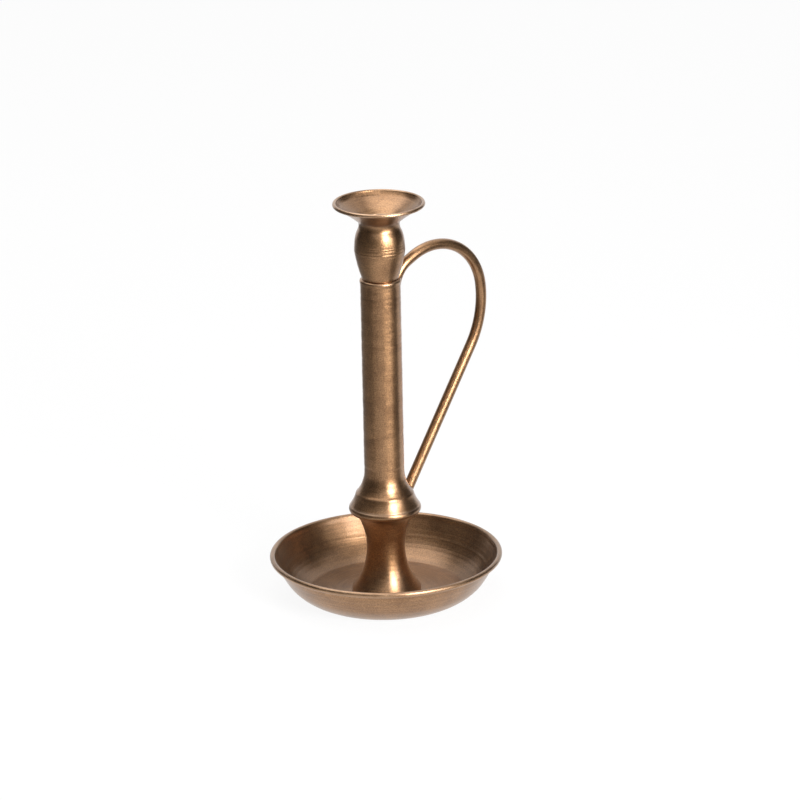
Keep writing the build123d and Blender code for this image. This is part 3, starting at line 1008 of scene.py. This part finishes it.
spring_low, spring_high = span("spring_washer")
spring_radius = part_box("spring_washer")[1].y / mm
gap, slant = 0.12, 0.09   # half of the split and how far it leans, in radians
rim_drop = 0.05
spring_rows = 90
section = [
    (rod_hole, spring_low),
    (spring_radius, spring_low + rim_drop),
    (spring_radius, spring_high - rim_drop),
    (rod_hole, spring_high),
]
spring_grid = []
for share in np.linspace(0, 1, spring_rows):
    row = []
    for radius, height in section:
        lean = slant * ((height - spring_low) / (spring_high - spring_low) - 0.5)
        angle = gap + lean + (math.tau - 2 * gap) * share
        row.append((radius * math.cos(angle), radius * math.sin(angle), height))
    spring_grid.append(row)
spring_grid = np.array(spring_grid)[:, ::-1]
spring_washer = skin("spring_washer_split", spring_grid, close_columns=True, cap=True)
spring_washer.data.polygons.foreach_set("use_smooth", [False] * len(spring_washer.data.polygons))
dress(spring_washer, zinc, "plated_steel", "spring_washer")
print("spring washer is", round(spring_high - spring_low, 2), "mm thick")

# %% [markdown]
# ## The camera
# The picture was taken from far away with a long lens, a little above the object, turned 38 degrees
# from the plane of the handle and tilted by a degree or so. The position was worked out from the
# ellipses of the pan and the cup. A point on the axis is placed where the picture shows it, a little
# left of the middle, by aiming the camera and not by shifting the lens.

# %% Place the camera
picture_side = 800
focal_pixels = 4364.8
camera_azimuth = math.radians(-38)
camera_elevation = math.radians(19.12)
camera_roll = math.radians(1.13)
camera_distance = 2.6
aim_height = 0.12
aim_left, aim_low = 17.13, 3.22

right = Vector((math.cos(camera_azimuth), math.sin(camera_azimuth), 0))
back = Vector((
    math.sin(camera_azimuth) * math.cos(camera_elevation),
    -math.cos(camera_azimuth) * math.cos(camera_elevation),
    math.sin(camera_elevation),
))
up = back.cross(right)
cos_roll, sin_roll = math.cos(camera_roll), math.sin(camera_roll)
scale = camera_distance / focal_pixels
across_shift = (-cos_roll * aim_left - sin_roll * aim_low) * scale
down_shift = (-sin_roll * aim_left + cos_roll * aim_low) * scale
stand = Vector((0, 0, aim_height)) - right * across_shift + up * down_shift + back * camera_distance
image_right = right * cos_roll - up * sin_roll
image_up = right * sin_roll + up * cos_roll

lens = bpy.data.cameras.new("studio_camera")
lens.sensor_width = 36
lens.lens = lens.sensor_width * focal_pixels / picture_side
camera = bpy.data.objects.new("studio_camera", lens)
camera.matrix_world = Matrix.Translation(stand) @ Matrix((image_right, image_up, back)).transposed().to_4x4()
bpy.context.scene.collection.objects.link(camera)
bpy.context.scene.camera = camera
print("camera stands at", [round(v, 3) for v in stand], "with a lens of", round(lens.lens, 1), "mm")

# %% [markdown]
# ## A white table and soft boxes
# Metal shows its surroundings, so lighting it means building what it mirrors. The table and the room
# are white. A key soft box stands to the right of the camera and draws the highlights on the bell and
# the cup and the bright band down the stem. A smaller one further right and lower lights the wall of
# the pan, a weak one high above the camera gives the dish its glow, and a broad weak one hangs behind
# on the left. Dark cards stand left and right, out of view, and draw the dark bands that give a round
# metal form its edges. Two grey ones stand before the camera and to its left, and toned ones lie on
# the table. Without them it would look like plastic. The camera doesn't see the cards or the boxes,
# only the metal does.

# %% Table and stage helpers
card_columns, card_rows = 25, 13


def stage_sheet(name, rows):
    """Flat or curved sheet that isn't part of the object, from rows of points in metres."""
    sheet = skin(name, np.array(rows) / mm)
    sheet.visible_camera = False
    return sheet


def direction(azimuth, elevation):
    """Direction from the object, at an azimuth to the right of the camera and an elevation, in degrees."""
    a, e = camera_azimuth + math.radians(azimuth), math.radians(elevation)
    return Vector((math.sin(a) * math.cos(e), -math.cos(a) * math.cos(e), math.sin(e)))


def panel(name, azimuth, elevation, distance, width, height):
    """Flat panel that faces the middle of the object."""
    toward = direction(azimuth, elevation)
    side = Vector((0, 0, 1)).cross(toward).normalized()
    rise = toward.cross(side)
    middle = Vector((0, 0, aim_height)) + toward * distance
    return stage_sheet(name, [
        [middle + side * (width * (u - 0.5)) + rise * (height * (v - 0.5)) for u in (1, 0)] for v in (0, 1)
    ])


def standing_card(name, azimuths, elevations, distance):
    """Curved card, upright at its foot and leaning in above, between azimuths and elevations."""
    lift = Vector((0, 0, mm))
    return stage_sheet(name, [
        [lift + direction(azimuth, elevation) * distance for azimuth in np.linspace(*azimuths, card_columns)]
        for elevation in np.linspace(*elevations, card_rows)
    ])


def lying_card(name, azimuths, near, far):
    """Card that lies on the table and that only the metal sees."""
    lift = Vector((0, 0, mm / 2))
    sheet = stage_sheet(name, [
        [lift + direction(azimuth, 0) * reach for azimuth in np.linspace(*azimuths, card_columns)]
        for reach in (near, far)
    ])
    sheet.visible_diffuse = sheet.visible_shadow = False
    return sheet


def in_view(tree):
    """One for a ray from the camera, a mirror or glass, and zero for light that falls on the object."""
    ray = add(tree, "LightPath")
    seen = ray.outputs["Is Camera Ray"]
    for kind in ("Is Glossy Ray", "Is Transmission Ray"):
        seen = add(tree, "Math", [("operation", "MAXIMUM")], [(0, seen), (1, ray.outputs[kind])])
    return seen


# %% The table
# Where it is seen, the table glows like the white room, and a small share stays plain matt white, which
# keeps the soft shadow of the object.
table_reach = 6.0
table_drop = 0.0001   # keeps the table a hair below the pan, so that the two never share a plane
glow_share = 0.92
table_corners = np.array([[(-1, -1, 0), (1, -1, 0)], [(-1, 1, 0), (1, 1, 0)]])
table_top = skin("table_top", table_corners * table_reach / mm)
table_top.location.z = -table_drop
white, tree = new_material("white_table")
share = add(tree, "Math", [("operation", "MULTIPLY"), (1, glow_share)], [(0, in_view(tree))])
matt = add(tree, "BsdfDiffuse", [("Color", colour("#efefef"))])
glow = add(tree, "Emission", [("Strength", 1.0)])
both = add(tree, "MixShader", [], [(0, share), (1, matt), (2, glow)])
add(tree, "OutputMaterial", [], [("Surface", both)])
table_top.data.materials.append(white)
print("table reaches", table_reach, "metres each way")

# %% Soft boxes
def soft_box(sheet, strength, feather, axes):
    """Light from the front of a panel, fading over a share of its size at each edge along two axes."""
    material, tree = new_material(sheet.name + "_light")
    place = add(tree, "TexCoord")
    split = add(tree, "SeparateXYZ", [], [(0, place.outputs["Generated"])])
    surface = add(tree, "NewGeometry")
    level = add(tree, "Math", [("operation", "SUBTRACT"), (0, 1.0)], [(1, surface.outputs["Backfacing"])])
    for axis in axes:
        for low, high in ((0.0, feather), (1.0, 1 - feather)):
            soft_edge = [("interpolation_type", "SMOOTHSTEP"), (1, low), (2, high)]
            fade = add(tree, "MapRange", soft_edge, [(0, split.outputs[axis])])
            level = add(tree, "Math", [("operation", "MULTIPLY")], [(0, level), (1, fade)])
    power = add(tree, "Math", [("operation", "MULTIPLY"), (1, strength)], [(0, level)])
    light = add(tree, "Emission", [], [("Strength", power)])
    add(tree, "OutputMaterial", [], [("Surface", light)])
    sheet.data.materials.append(material)


# Name, azimuth, elevation, distance, width and height in metres, then strength, feather and axes.
soft_boxes = [
    ("key_soft_box", 33, 24, 1.5, 0.86, 0.95, 33, 0.4, (0, 2)),
    ("side_soft_box", 53, 12, 1.5, 0.55, 0.45, 15, 0.4, (0, 2)),
    ("front_soft_box", 8, 60, 1.5, 0.6, 0.4, 4, 0.4, (0, 1)),
    ("overhead_soft_box", -125, 74, 1.4, 1.7, 2.0, 2.8, 0.3, (0, 2)),
]
for name, azimuth, elevation, distance, width, height, strength, feather, axes in soft_boxes:
    soft_box(panel(name, azimuth, elevation, distance, width, height), strength, feather, axes)
    print(name, "at", azimuth, "degrees right of the camera and", elevation, "degrees up")

# %% Toned cards
def paper(sheet, tone):
    """Matt paper in one colour."""
    material, tree = new_material(sheet.name + "_paper")
    matt = add(tree, "BsdfDiffuse", [("Color", colour(tone))])
    add(tree, "OutputMaterial", [], [("Surface", matt)])
    sheet.data.materials.append(material)


standing_cards = [
    ("left_black_card", (-132, -44), (0, 46), 1.30, "#555555"),
    ("low_grey_card", (-45, 15), (0, 30), 1.32, "#555555"),
    ("high_grey_card", (-45, -24), (25, 52), 1.32, "#aaaaaa"),
    ("right_black_card", (70, 138), (0, 48), 1.30, "#454545"),
]
lying_cards = [
    ("left_table_card", (-152, -50), "#898989"),
    ("left_grey_table_card", (-50, -20), "#bcbcbc"),
    ("right_table_card", (56, 102), "#656565"),
]
card_near, card_far = 0.17, 1.3
for name, azimuths, elevations, distance, tone in standing_cards:
    paper(standing_card(name, azimuths, elevations, distance), tone)
for name, azimuths, tone in lying_cards:
    paper(lying_card(name, azimuths, card_near, card_far), tone)
print(len(standing_cards), "cards stand and", len(lying_cards), "lie on the table")

# %% A white room
# The room is white where it is seen, and half as bright where it lights the object.
room_light, room_seen = 0.5, 1.0
world = bpy.data.worlds.new("white_room")
world.use_nodes = True
bpy.context.scene.world = world
tree = world.node_tree
tree.nodes.clear()
level = add(tree, "MapRange", zip(map_limits, (0, 1, room_light, room_seen)), [(0, in_view(tree))])
room = add(tree, "Background", [("Color", colour("#ffffff"))], [("Strength", level)])
add(tree, "OutputWorld", [], [("Surface", room)])
bpy.context.scene.view_settings.view_transform = "Standard"
print("room shows at", room_seen, "and lights the object at", room_light)
